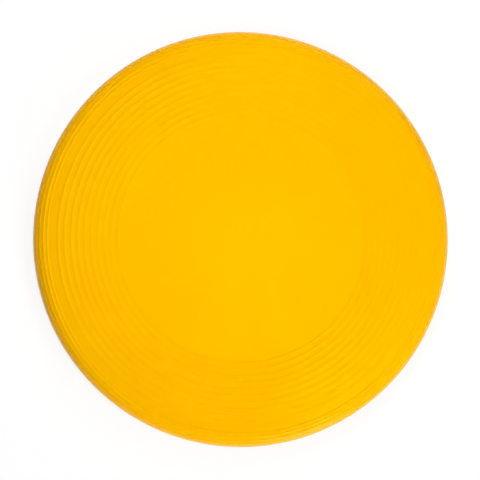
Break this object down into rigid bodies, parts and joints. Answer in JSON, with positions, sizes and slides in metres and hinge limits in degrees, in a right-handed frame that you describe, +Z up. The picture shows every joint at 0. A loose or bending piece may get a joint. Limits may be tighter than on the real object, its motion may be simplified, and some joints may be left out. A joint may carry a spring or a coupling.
{
  "type": "flying disc",
  "caption": "Closed round flying disc: flat plate, shallow ringed crown, ridged rounded nose, short rim wall with a thicker foot, hollow below.",
  "frame": {"origin": "middle of the plane that the foot rests on, on the spin axis", "axes": "+Z up the spin axis, out of the flat top; +X and +Y lie in the foot's plane, in any direction, because the disc is round"},
  "size_m": [0.23, 0.23, 0.0212],
  "materials": {
    "yellow_plastic": "satin moulded polypropylene"
  },
  "bodies": {
    "root": {"disc": "yellow_plastic"}
  },
  "joints": []
}
